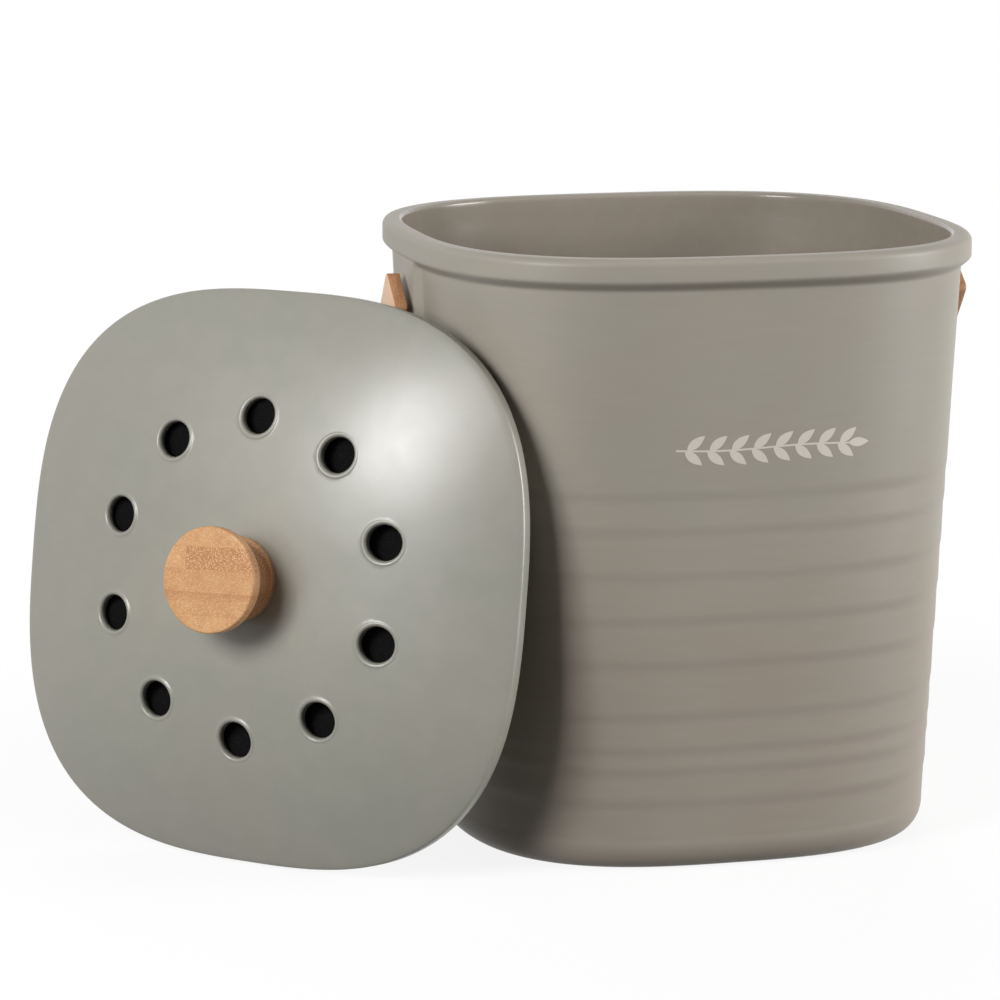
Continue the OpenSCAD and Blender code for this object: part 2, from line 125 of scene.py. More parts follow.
class CaddyLidSizes(bpy.types.PropertyGroup):
    width: length("Lid width", "Width of the lid across the flats", 197.4)
    edge: length("Edge height", "Height of the lid's upright edge", 5.0)
    dome: length("Dome rise", "Rise of the dome above the edge", 18.6)
    fullness: FloatProperty(
        name="Dome fullness", description="Fullness of the dome, where 2 is a parabola", default=2.45)
    shell: length("Shell", "Thickness of the lid's shell", 3.0)
    spigot: length("Spigot depth", "Depth of the spigot that drops into the bucket", 8.0)
    spigot_half: length("Spigot half width", "Half the width of the spigot", 91.1)
    spigot_wall: length("Spigot wall", "Thickness of the spigot", 2.6)
    vents: IntProperty(name="Vents", description="Number of vents", default=10, min=3)
    vent_width: length("Vent diameter", "Diameter of the vents", 13.2)
    vent_circle: length("Vent circle", "Diameter of the circle through the vents", 111.0)
    vent_lip: length("Vent lip", "Height of the moulded lip round each vent", 0.3)
    knob_width: length("Knob diameter", "Diameter of the knob's head", 36.2)
    knob_height: length("Knob height", "Height of the knob", 20.0)
    knob_base: length("Knob base", "Diameter of the knob's base", 29.0)
    knob_neck: length("Knob neck", "Diameter of the knob's neck", 19.0)


class CaddyFilterSizes(bpy.types.PropertyGroup):
    width: length("Filter diameter", "Diameter of the felt filter", 131.0)
    thickness: length("Filter thickness", "Thickness of the felt filter", 6.0)
    gap: length("Filter gap", "Clearance round the filter in its wall", 0.7)
    wall: length("Filter wall", "Thickness of the wall round the filter", 2.0)
    cover: length("Cover thickness", "Thickness of the filter cover", 2.4)
    lug: length("Lug reach", "Reach of the lugs that hold the cover", 2.4)
    lug_angle: FloatProperty(
        name="Lug angle", description="Half the angle that each lug spans", default=radians(11),
        subtype="ANGLE")
    hole: length("Cover holes", "Diameter of the holes in the cover", 8.0)


class CaddyColours(bpy.types.PropertyGroup):
    clay: colour("Clay", "Main colour of the moulded composite", "989388")
    # The warmer colour that the clay turns to low on the bucket and in cloudy patches
    clay_warm: colour("Warm clay", "Warmer cast of the composite, low on the bucket and in places", "968c80")
    # Painted shade: the clay's colour made darker and warmer for the inside of the bucket, where shade falls
    # in the hollow
    clay_inner_painted_shade: colour("Inner clay", "Colour of the composite inside the bucket", "91897d")
    clay_cool: colour("Cool clay", "Cooler cast of the composite on the lid", "8a897f")
    fibre: colour("Fibre fleck", "Pale fibre flecks in the composite", "aea89d")
    bamboo: colour("Bamboo", "Pale bamboo", "cd9e6e")
    bamboo_light: colour("Light bamboo", "Pith between the fibre bundles", "e4bf93")
    bamboo_brown: colour("Brown bamboo", "Browner strips and bundle ends", "a87244")
    bamboo_line: colour("Glue line", "Lines between bamboo strips", "93602f")
    strip: colour("Strip face", "Broad face of the bent strip", "e9c3a1")
    strip_edge: colour("Strip edge", "Edges and cut ends of the bent strip", "a5734a")
    felt: colour("Felt", "Carbon felt", "080808")
    steel: colour("Steel", "Stainless steel", "b9bbbd")
    cover: colour("Cover", "Plastic of the filter cover", "3b3a37")
    ink: colour("Ink", "Pale printing on the front", "cbc4ba")


def panel(group):
    """The sizes or colours that the panel shows under one name."""
    return getattr(bpy.context.scene, "caddy_" + group)


def add_object(name, data):
    """A new object in the scene."""
    made = bpy.data.objects.new(name, data)
    bpy.context.scene.collection.objects.link(made)
    return made


# Small helpers for meshes

def squircle(half, angle, power):
    """The point on a rounded-square outline of a half width at an angle."""
    c, s = cos(angle), sin(angle)
    r = half / squircle_half(c, s, power)
    return r * c, r * s


def squircle_half(x, y, power):
    """The half width of the rounded-square outline that a point lies on."""
    return (abs(x) ** power + abs(y) ** power) ** (1 / power)


def smooth(low, high, value):
    """0 below low, 1 above high and an even S between."""
    t = min(max((value - low) / (high - low), 0.0), 1.0)
    return t * t * (3 - 2 * t)


def arc(cx, cz, radius, start, stop, steps, high=None):
    """Profile points between two angles in degrees round a circle, or an ellipse if it has its own height."""
    turns = [radians(start + (stop - start) * i / steps) for i in range(steps + 1)]
    return [(cx + radius * cos(a), cz + (high or radius) * sin(a)) for a in turns]


def even(start, stop, step):
    """Evenly spaced values from start to stop, both included, about a step apart."""
    count = max(1, round(abs(stop - start) / step))
    return [start + (stop - start) * i / count for i in range(count + 1)]


def near(x, z, *moves):
    """Profile points close to one place, each given in millimetres out and up from it."""
    return [(x + out * MM, z + up * MM) for out, up in moves]


def circle(radius, count, centre=(0.0, 0.0), turn=0.0):
    """Evenly spaced points round a circle, turned by a share of one space."""
    turns = [2 * pi * (i + turn) / count for i in range(count)]
    return [(centre[0] + radius * cos(a), centre[1] + radius * sin(a)) for a in turns]


def rounded_box(half_x, half_y, radius, steps):
    """Points once round a rectangle with rounded corners."""
    ring = []
    for x, y, start in ((1, 1, 0), (-1, 1, 90), (-1, -1, 180), (1, -1, 270)):
        ring += arc(x * (half_x - radius), y * (half_y - radius), radius, start, start + 90, steps)
    return ring


def add_ring(points, ring):
    """Adds a ring's points to a list and gives their numbers."""
    start = len(points)
    points += ring
    return list(range(start, len(points)))


def sheet(rows):
    """Quads through rows of point numbers, each row a closed ring of the same length."""
    faces = []
    for a, b in zip(rows, rows[1:]):
        faces += zip(a, b, b[1:] + b[:1], a[1:] + a[:1])
    return faces


def loft(rings):
    """Points and faces of a shell through rings of the same length, closed at both ends."""
    points = []
    rows = [add_ring(points, ring) for ring in rings]
    return points, sheet(rows) + [tuple(reversed(rows[0])), tuple(rows[-1])]


def lathe(profile, steps):
    """A turned shell about the Z axis. Profile ends near the axis are closed by a flat face."""
    return loft([[(x, y, z) for x, y in circle(r, steps)] for r, z in profile])


def gather(shells):
    """One set of points and faces from several shells."""
    points, faces = [], []
    for own_points, own_faces in shells:
        start = len(points)
        points += own_points
        faces += [tuple(start + i for i in face) for face in own_faces]
    return points, faces


def piece(name, points, faces, materials, body, grain=None, cut=None, picks=None, soft=True):
    """Makes an object that rides on a body, smooth-shaded unless told otherwise."""
    mesh = bpy.data.meshes.new(name)
    mesh.from_pydata([tuple(p) for p in points], [], faces)
    for m in materials:
        mesh.materials.append(m)
    if picks:
        mesh.polygons.foreach_set("material_index", picks)
    if grain:
        store = mesh.attributes.new(GRAIN, "FLOAT_VECTOR", "POINT")
        store.data.foreach_set("vector", [c for g in grain for c in g])
    if cut:
        store = mesh.attributes.new(CUT, "FLOAT", "POINT")
        store.data.foreach_set("value", cut)
    work = bmesh.new()
    work.from_mesh(mesh)
    bmesh.ops.recalc_face_normals(work, faces=work.faces)
    work.to_mesh(mesh)
    work.free()
    mesh.polygons.foreach_set("use_smooth", [soft] * len(mesh.polygons))
    obj = add_object(name, mesh)
    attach(obj, body)
    return obj


def lid_piece(name, points, faces, material, body=LID, grain=None):
    """Makes an object from points in the lid's own frame, seat at Z 0 and dome up, where the lid leans."""
    twist = JOINTS["cover_twist"]
    out = Vector(twist["axis"]).normalized()
    right = Vector((0, 0, 1)).cross(out).normalized()
    turn = Matrix((right, out.cross(right), out)).transposed().to_4x4()
    place = Matrix.Translation(twist["pos_m"]) @ turn
    return piece(name, [place @ Vector(p) for p in points], faces, [material], body, grain=grain)


def dome_height(share):
    """Height of the lid's outside at a share of the way from its middle to its edge."""
    s = panel("lid")
    return s.edge + s.dome * (1 - share ** s.fullness)


def filter_heights():
    """Heights in the lid's frame: the filter's top and bottom, and the cover's top and bottom."""
    f = panel("filter")
    s = panel("lid")
    play = 0.3 * MM
    top = dome_height((f.width / 2 + f.gap) / (s.width / 2)) - s.shell - play
    bottom = top - f.thickness
    cover_top = bottom - play
    return top, bottom, cover_top, cover_top - f.cover


# Shader maths

def arithmetic(operation, turned=False):
    """An operator that adds one Math node. Turned, it is the reflected form, with the other value first."""
    def act(wire, other):
        return wire.maths(operation, other, wire) if turned else wire.maths(operation, wire, other)
    return act


class Wire:
    """One output in a node tree. Arithmetic on it adds Math nodes."""

    def __init__(self, shader, socket):
        self.shader = shader
        self.socket = socket

    def maths(self, operation, *values):
        return self.shader.node("ShaderNodeMath", {"operation": operation}, dict(enumerate(values)))

    __add__ = arithmetic("ADD")
    __radd__ = arithmetic("ADD", turned=True)
    __sub__ = arithmetic("SUBTRACT")
    __rsub__ = arithmetic("SUBTRACT", turned=True)
    __mul__ = arithmetic("MULTIPLY")
    __rmul__ = arithmetic("MULTIPLY", turned=True)
    __truediv__ = arithmetic("DIVIDE")
    __rtruediv__ = arithmetic("DIVIDE", turned=True)

    def __abs__(self):
        return self.maths("ABSOLUTE", self)

    def floor(self):
        return self.maths("FLOOR", self)

    def fraction(self):
        return self.maths("FRACT", self)

    def clamped(self):
        return self.shader.node("ShaderNodeClamp", {}, {"Value": self})

    def between(self, low, high):
        """0 at low, 1 at high, with an even S between."""
        return self.shader.node(
            "ShaderNodeMapRange", {"interpolation_type": "SMOOTHSTEP"},
            {"Value": self, "From Min": low, "From Max": high})


class Shader:
    """A material or a world whose nodes are added by name and read as Wires."""

    def __init__(self, name, kind="materials"):
        self.owner = getattr(bpy.data, kind).new(name)
        self.owner.use_nodes = True
        self.tree = self.owner.node_tree
        self.tree.nodes.clear()
        self.shades = panel("colours")

    def node(self, kind, settings, inputs, output=0):
        """Adds a node: its settings first, then the values or Wires of its sockets."""
        made = self.tree.nodes.new(kind)
        for key, value in settings.items():
            setattr(made, key, value)
        for key, value in inputs.items():
            socket = made.inputs[key]
            if isinstance(value, Wire):
                self.tree.links.new(value.socket, socket)
            elif hasattr(value, "__len__"):
                socket.default_value = (list(value) + [1.0])[:len(socket.default_value)]
            else:
                socket.default_value = value
        return Wire(self, made.outputs[output]) if made.outputs else None

    def place(self, stretch=(1.0, 1.0, 1.0), grain=False):
        """The surface's own coordinates in millimetres, from the object or from the stored grain."""
        if grain:
            start = self.node("ShaderNodeAttribute", {"attribute_name": GRAIN}, {}, "Vector")
        else:
            start = self.node("ShaderNodeTexCoord", {}, {}, "Object")
        factors = [s / MM for s in stretch]
        return self.node("ShaderNodeVectorMath", {"operation": "MULTIPLY"}, {0: start, 1: factors})

    def axis(self, vector, letter):
        return self.node("ShaderNodeSeparateXYZ", {}, {0: vector}, letter)

    def noise(self, vector, scale, detail=2.0, rough=0.5):
        inputs = {"Vector": vector, "Scale": scale, "Detail": detail, "Roughness": rough}
        return self.node("ShaderNodeTexNoise", {}, inputs)

    def cells(self, vector, scale):
        return self.node("ShaderNodeTexVoronoi", {}, {"Vector": vector, "Scale": scale}, "Distance")

    def mix(self, share, first, second):
        return self.node("ShaderNodeMix", {"data_type": "RGBA"}, {0: share, 6: first, 7: second}, 2)

    def bump(self, height, depth, strength, under=None):
        """A Bump node for a height of 0 to 1, at a depth in millimetres."""
        inputs = {"Height": height, "Strength": strength, "Distance": depth * MM}
        if under:
            inputs["Normal"] = under
        return self.node("ShaderNodeBump", {}, inputs)

    def ray(self, kind):
        """1 for light rays of one kind and 0 for all others."""
        return self.node("ShaderNodeLightPath", {}, {}, f"Is {kind} Ray")

    def background(self):
        """1 for the rays that show a background: to the camera, in reflections and through glass."""
        return (self.ray("Camera") + self.ray("Glossy") + self.ray("Transmission")).clamped()

    def finish(self, surface, end="ShaderNodeOutputMaterial"):
        self.node(end, {}, {"Surface": surface})
        return self.owner

    def skin(self, inputs):
        return self.finish(self.node("ShaderNodeBsdfPrincipled", {}, inputs))


def moulded_clay(name, sheen, gloss, flow, main, warm_below=0.0, speckle=1.0):
    """Satin bamboo-fibre composite: faint clouds, flow streaks, pale flecks, a fine pebble and a warmer
    colour low down.
    """
    s = Shader(name)
    cloud_scale, streak_scale, fleck_scale = 0.022, 0.35, 0.9
    patch_scale, pebble_scale, wave_scale = 0.6, 2.2, 0.045
    here = s.place()
    clouds = s.noise(here, cloud_scale, 3.0, 0.55)
    streaks = s.noise(s.place(stretch=flow), streak_scale, 3.0, 0.6)
    flecks = s.cells(here, fleck_scale)
    fleck = (1 - flecks.between(0.06, 0.16)) * speckle
    sparse = s.noise(here, patch_scale, 1.0).between(0.55, 0.68)
    # Low on the bucket the clay turns towards the warmer colour, fading out upwards
    low = 1 - s.axis(here, "Z").between(warm_below * 0.6, warm_below * 1.3 + 1.0)
    base = s.mix((clouds.between(0.3, 0.75) * 0.3 + low * 0.6).clamped(), main, s.shades.clay_warm)
    toned = s.mix(streaks.between(0.35, 0.75) * 0.08, base, s.shades.fibre)
    flecked = s.mix(fleck * sparse * 0.35, toned, s.shades.fibre)
    pebble = s.noise(here, pebble_scale, 2.0, 0.5)
    waves = s.noise(here, wave_scale, 1.5, 0.4)
    dull = sheen + (clouds - 0.5) * 0.10 + (streaks - 0.5) * 0.08 + fleck * sparse * 0.05
    broad = s.bump(waves, 0.35, 0.6)
    return s.skin({
        "Base Color": flecked,
        "Roughness": dull.clamped(),
        "Specular IOR Level": gloss,
        "IOR": 1.5,
        "Normal": s.bump(pebble, 0.020, 0.8, broad),
    })


def turned_bamboo():
    """Laminated bamboo cut across its strips: layers, glue lines and specks of bundle ends."""
    s = Shader("turned_bamboo")
    thickness, strip_start, slant, first_layer = 7.7, -9.5, 0.045, 0.56
    here = s.place(grain=True)
    along = s.axis(here, "X")
    ragged = s.noise(s.place(grain=True, stretch=(0.25, 1.0, 1.0)), 0.9, 2.0) - 0.5
    across = s.axis(here, "Y") - along * slant + ragged * 0.5
    layer = across / thickness + first_layer
    number = layer.floor()
    tone = s.node("ShaderNodeTexWhiteNoise", {"noise_dimensions": "1D"}, {"W": number + 3.0}, "Value")
    edge = abs(layer.fraction() - 0.5).between(0.455, 0.5)
    wander = s.noise(here, 0.12, 2.0)
    specks = s.cells(here, 1.35)
    dots = (1 - specks.between(0.12, 0.42)) * s.noise(here, 0.35, 2.0).between(0.32, 0.62)
    fine = s.noise(s.place(grain=True, stretch=(0.6, 2.2, 0.6)), 1.4, 3.0, 0.65)
    dark_strip = (1 - abs(number - 1.0).clamped()) * (along - strip_start).between(0.0, 0.4)
    upper = layer.fraction().between(0.45, 1.0)
    shaded = upper * ((1 - abs(number + 1.0).clamped()) * 0.5 + (1 - abs(number).clamped()) * 0.22)
    base = s.mix(tone * 0.24 + shaded, s.shades.bamboo, s.shades.bamboo_brown)
    banded = s.mix(dark_strip * 0.55, base, s.shades.bamboo_brown)
    pores = s.cells(s.place(grain=True, stretch=(0.8, 1.1, 1.0)), 1.9).between(0.18, 0.55)
    patchy = s.noise(here, 0.22, 2.0).between(0.35, 0.65)
    speckled = s.mix(pores * (0.18 + patchy * 0.28 + dark_strip * 0.40), banded, s.shades.bamboo_brown)
    pale = s.mix((1 - pores) * (0.38 + dark_strip * 0.25), speckled, s.shades.bamboo_light)
    grained = s.mix(fine.between(0.45, 0.8) * 0.25, pale, s.shades.bamboo_line)
    warm = s.mix(wander.between(0.35, 0.7) * 0.15, grained, s.shades.bamboo_brown)
    lined = s.mix(edge * 0.14, warm, s.shades.bamboo_line)
    height = specks * 0.5 + fine * 0.3 - edge * 0.3
    return s.skin({
        "Base Color": lined,
        "Roughness": 0.50 + dots * 0.12 + edge * 0.1,
        "Coat Weight": 0.05,
        "Coat Roughness": 0.35,
        "Normal": s.bump(height, 0.06, 0.55),
    })


def bent_bamboo():
    """The bent strip: pale long-grained faces, browner plies on its edges, speckled cut ends."""
    s = Shader("bent_bamboo")
    knot_spacing, ply_thickness, half_thickness = 148.0, 1.54, 2.3
    here = s.place(grain=True)
    depth = s.axis(here, "Z")
    run = s.axis(here, "X")
    side = s.axis(here, "Y")
    cut = s.node("ShaderNodeAttribute", {"attribute_name": CUT}, {}, "Fac")
    fibres = s.noise(s.place(grain=True, stretch=(0.035, 1.0, 1.0)), 1.6, 4.0, 0.6)
    strands = s.noise(s.place(grain=True, stretch=(0.012, 0.5, 0.5)), 0.9, 2.0, 0.5)
    specks = s.cells(here, 1.5)
    dots = 1 - specks.between(0.12, 0.45)
    joint = (run / knot_spacing + side * 0.0004 + 0.32).fraction()
    node = (1 - abs(joint - 0.5).between(0.004, 0.014)) * 0.8
    ply = ((depth + half_thickness) / ply_thickness).fraction()
    ply_line = abs(ply - 0.5).between(0.42, 0.5)
    face = s.mix(fibres.between(0.35, 0.8) * 0.30, s.shades.strip, s.shades.strip_edge)
    toned = s.mix(strands.between(0.4, 0.75) * 0.22, face, s.shades.bamboo)
    ringed = s.mix(node * 0.45, toned, s.shades.bamboo_brown)
    brown = s.mix(dots * 0.4, s.shades.strip_edge, s.shades.strip)
    sides = s.mix(ply_line * 0.5, brown, s.shades.bamboo_line)
    height = fibres * 0.6 + node * 0.8 + specks * 0.2
    return s.skin({
        "Base Color": s.mix(cut, ringed, sides),
        "Roughness": 0.40 + fibres * 0.12 + cut * 0.1,
        "Coat Weight": 0.10,
        "Coat Roughness": 0.4,
        "Normal": s.bump(height, 0.07, 0.5),
    })


def carbon_felt():
    """Needled black felt."""
    s = Shader("carbon_felt")
    here = s.place()
    fibres = s.noise(here, 1.6, 5.0, 0.7)
    matted = s.noise(s.place(stretch=(1.0, 0.3, 1.0)), 2.6, 3.0, 0.6)
    pale = s.mix(fibres.between(0.5, 0.85) * 0.5, s.shades.felt, (0.045, 0.044, 0.046))
    return s.skin({
        "Base Color": pale,
        "Roughness": 0.95,
        "Specular IOR Level": 0.15,
        "Normal": s.bump(fibres * 0.7 + matted * 0.5, 0.5, 0.8),
    })


def brushed_steel():
    """Satin stainless steel with faint turning marks."""
    s = Shader("brushed_steel")
    marks = s.noise(s.place(stretch=(0.4, 1.0, 1.0)), 4.5, 3.0, 0.6)
    smears = s.noise(s.place(), 0.5, 2.0)
    return s.skin({
        "Base Color": s.mix(smears.between(0.3, 0.8) * 0.25, s.shades.steel, (0.36, 0.36, 0.37)),
        "Metallic": 1.0,
        "Roughness": 0.26 + marks * 0.16,
        "Normal": s.bump(marks, 0.015, 0.5),
    })


def plain_brass():
    """Turned brass of the knob's insert."""
    s = Shader("plain_brass")
    marks = s.noise(s.place(), 3.0, 3.0, 0.6)
    return s.skin({
        "Base Color": s.mix(marks * 0.4, (0.60, 0.42, 0.16), (0.42, 0.27, 0.09)),
        "Metallic": 1.0,
        "Roughness": 0.3 + marks * 0.15,
        "Normal": s.bump(marks, 0.02, 0.5),
    })


def cover_plastic():
    """Fine matte plastic of the filter cover."""
    s = Shader("cover_plastic")
    here = s.place()
    spark = s.noise(here, 3.2, 3.0, 0.6)
    wear = s.noise(here, 0.08, 3.0)
    return s.skin({
        "Base Color": s.mix(wear.between(0.4, 0.8) * 0.3, s.shades.cover, (0.062, 0.060, 0.056)),
        "Roughness": 0.48 + spark * 0.18,
        "Normal": s.bump(spark, 0.03, 0.8),
    })


def printed_ink():
    """Pale ink that sits on the composite, thin in places."""
    s = Shader("printed_ink")
    here = s.place()
    thin = s.noise(here, 1.3, 4.0, 0.7)
    return s.skin({
        "Base Color": s.mix(thin.between(0.55, 0.85) * 0.45, s.shades.ink, s.shades.clay),
        "Roughness": 0.55 + thin * 0.1,
        "Normal": s.bump(thin, 0.015, 0.6),
    })


# The bucket

def wall_half(z):
    """Half width of the bucket's outside on its plain taper."""
    s = panel("bucket")
    top = s.rim_width / 2 - s.band_out
    foot = top - s.wall_draw / 2
    return foot + (top - foot) * z / (s.height - s.band_height)


def ribbed_half(z):
    """Half width of the wall with its rib steps: each stands out above its step and tapers in upwards."""
    s = panel("bucket")
    band = s.height - s.band_height
    last_end, stands_out, sinks_in, late = 0.8, 0.5, -0.45, 0.7
    steps = [share * band for share in RIB_SHARES]
    ends = [0.0] + steps + [band * last_end]
    out = 0.0
    for k, low in enumerate(ends[:-1]):
        high = ends[k + 1]
        first = stands_out if k else 0.0
        last = sinks_in if k < len(steps) else 0.0
        ramp = first + (last - first) * min(max((z - low) / (high - low), 0.0), 1.0)
        inside = smooth(low - s.rib_soft, low + s.rib_soft * late, z) if k else 1.0
        beyond = smooth(high - s.rib_soft, high + s.rib_soft * late, z) if k < len(steps) else 0.0
        out += ramp * inside * (1 - beyond)
    return wall_half(z) + out * s.rib_step


def bucket_outside():
    """Profile up the outside, from the middle of the underside to the top of the rim."""
    s = panel("bucket")
    half = s.rim_width / 2
    band = s.height - s.band_height
    foot_share, ring_width = 0.72, 6 * MM
    swell_low, swell_high = band - 2.9 * MM, band + 1.2 * MM
    rib_row, pad_row, top_row, swell_row = 0.75 * MM, 0.45 * MM, 1.2 * MM, 0.4 * MM
    foot_in = s.foot * foot_share
    ring = wall_half(0.0) - foot_in
    inner = ring - ring_width
    profile = [(r * inner / 6, s.recess) for r in (0.15, 1, 2, 3, 4, 5)]
    profile += near(inner, s.recess, (-1.5, 0)) + near(inner, 0.0, (-0.4, 0.5), (0.4, 0.1), (1.2, 0))
    profile += near(ring, 0.0, (-0.6, 0))
    profile += arc(wall_half(s.foot) - foot_in, s.foot, foot_in, -88, 0, 14, s.foot)[1:]
    top = band - 4.6 * MM
    heights = even(s.foot + 0.8 * MM, PIVOT_Z - s.pad_width / 2 - 2 * MM, rib_row)
    heights += even(heights[-1] + 0.4 * MM, PIVOT_Z, pad_row)
    heights += even(heights[-1] + 1.0 * MM, top, top_row)
    profile += [(ribbed_half(z), z) for z in heights]
    blend = even(top, band + 1.8 * MM, swell_row)[1:]
    profile += [(wall_half(z) + (half - wall_half(z)) * smooth(swell_low, swell_high, z), z) for z in blend]
    profile += arc(half - s.lip, s.height - s.lip, s.lip, 0, 90, 9)
    return profile


def bucket_inside():
    """Profile down the inside, from the top of the rim to the middle of the floor."""
    s = panel("bucket")
    band = s.height - s.band_height
    lip, band_row, rim_row, boss_row, wall_row = 1.4 * MM, 2 * MM, 1.5 * MM, 0.5 * MM, 4 * MM
    mouth = wall_half(band) - s.wall
    radius = s.foot - 1 * MM
    low = s.floor + radius
    profile = arc(mouth + lip, s.height - lip, lip, 90, 180, 6)
    profile += [(mouth, z) for z in even(s.height - 3 * MM, band, band_row)]
    heights = even(band - 1 * MM, PIVOT_Z + 14 * MM, rim_row)
    heights += even(PIVOT_Z + 12 * MM, PIVOT_Z - 12 * MM, boss_row)
    heights += even(PIVOT_Z - 15 * MM, low, wall_row)
    profile += [(wall_half(z) - s.wall, z) for z in heights]
    centre = wall_half(low) - s.wall - radius
    profile += arc(centre, low, radius, -8, -90, 10)
    profile += [(centre * f, s.floor) for f in (0.8, 0.6, 0.4, 0.2, 0.03)]
    return profile


def bucket_turns():
    """Angles round the bucket, closer together where the pads end and over the bosses."""
    around, closest = 400, 0.12
    pad_end, boss = even(8.2, 11.4, 0.2), even(-6.0, 6.0, 0.3)
    turns = set(round(360 * i / around, 4) for i in range(around))
    for centre in (0, 180):
        for side in (-1, 1):
            turns.update(round((centre + side * a) % 360, 4) for a in pad_end)
        turns.update(round((centre + a) % 360, 4) for a in boss)
    kept = []
    for t in sorted(turns):
        if not kept or t - kept[-1] > closest:
            kept.append(t)
    return [radians(t) for t in kept]


def raise_pad(x, y, z):
    """Moves a point of the outer wall out to the pad's face where it lies in the pad's tongue."""
    s = panel("bucket")
    face, blend = s.rim_width / 2 - s.pad_inset, 1.8 * MM
    below = z - PIVOT_Z
    reach = math.hypot(y, below) if below < 0 else abs(y)
    share = smooth(s.pad_width / 2 + blend, s.pad_width / 2 - blend, reach)
    return math.copysign(max(abs(x), abs(x) + (face - abs(x)) * share), x)


def raise_boss(x, y, z):
    """Moves a point of the inner wall in to the flat boss behind the pivot."""
    s = panel("bucket")
    slope = s.wall_draw / 2 / (s.height - s.band_height)
    least_rise, blend_out, blend_in = 0.5 * MM, 0.6 * MM, 0.2 * MM
    face = wall_half(PIVOT_Z) - s.wall - slope * s.boss / 2 - least_rise
    reach = math.hypot(y, z - PIVOT_Z)
    share = smooth(s.boss / 2 + blend_out, s.boss / 2 - blend_in, reach)
    return math.copysign(min(abs(x), abs(x) + (face - abs(x)) * share), x)


class CADDY_OT_bucket(bpy.types.Operator):
    """Makes the moulded bucket with its rim band, ribs, pads and foot ring"""
    bl_idname = "caddy.bucket"
    bl_label = "Bucket"

    def execute(self, context):
        s = panel("bucket")
        outside, inside = bucket_outside(), bucket_inside()
        turns = bucket_turns()
        rings = []
        for k, (half, z) in enumerate(outside + inside):
            row = []
            for a in turns:
                x, y = squircle(half, a, s.squareness)
                if abs(y) < s.pad_width * 0.75 and z > PIVOT_Z - s.pad_width and abs(x) > half / 2:
                    if k < len(outside) and z < s.height - s.lip:
                        x = raise_pad(x, y, z)
                    elif k >= len(outside):
                        x = raise_boss(x, y, z)
                row.append((x, y, z))
            rings.append(row)
        points, faces = loft(rings)
        split = (len(outside) + 1) * len(turns)
        picks = [1 if min(f) >= split else 0 for f in faces]
        shades = panel("colours")
        skins = [
            moulded_clay("clay_outside", 0.45, 0.32, (0.12, 0.12, 1.0), shades.clay, warm_below=110.0),
            # The inside takes the darker inner colour, which is painted shade of the hollow; its lower
            # roughness and few flecks are the surface's own
            moulded_clay("clay_inside", 0.18, 0.5, (0.5, 0.5, 0.5), shades.clay_inner_painted_shade, speckle=0.12),
        ]
        bucket = piece("bucket_shell", points, faces, skins, BODY, picks=picks)
        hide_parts("bucket")
        return {"FINISHED"}


class CADDY_OT_print(bpy.types.Operator):
    """Prints a plain leaf sprig on the front"""
    bl_idname = "caddy.front_print"
    bl_label = "Front print"

    def execute(self, context):
        s = panel("bucket")
        middle_x, middle_z = 5 * MM, 147.7 * MM
        stem_half, stem_wide, stem_bow = 31 * MM, 0.32 * MM, 0.5 * MM
        leaf, leaf_half, pairs = 7.6 * MM, 1.55 * MM, 8

        def bow(x):
            return middle_z + stem_bow * sin(x / stem_half * pi)

        stem = [(t * 2 - 1) * stem_half for t in even(0, 1, 0.02)]
        shells = [self.strip(s, [(middle_x + x, bow(x), 0.0, 1.0, stem_wide) for x in stem])]
        blades = []
        for i in range(pairs):
            start = -stem_half + (i + 0.35) * 2 * stem_half / pairs
            blades += [(start, -radians(38)), (start + 0.8 * MM, radians(38))]
        blades.append((stem_half - 1 * MM, 0.0))
        for start, lean in blades:
            c, d = cos(lean), sin(lean)
            row = []
            for t in even(0, 1, 0.06):
                wide = leaf_half * sin(pi * t ** 0.85) ** 0.9 + 0.04 * MM
                along = 0.5 * MM + leaf * t
                row.append((middle_x + start + along * c, bow(start) + along * d, -d, c, wide))
            shells.append(self.strip(s, row))
        points, faces = gather(shells)
        piece("leaf_print", points, faces, [printed_ink()], BODY, soft=False)
        return {"FINISHED"}

    def strip(self, s, centres):
        """A thin raised band along points on the front, each with the way across and half the width."""
        rings = []
        for x, z, across_x, across_z, wide in centres:
            ring = []
            for side, sunk in ((-1, -0.12), (-1, 0.05), (1, 0.05), (1, -0.12)):
                px, pz = x + across_x * wide * side, z + across_z * wide * side
                half = ribbed_half(pz)
                front = -half * (1 - abs(px / half) ** s.squareness) ** (1 / s.squareness)
                ring.append((px, front - sunk * MM, pz))
            rings.append(ring)
        return loft(rings)


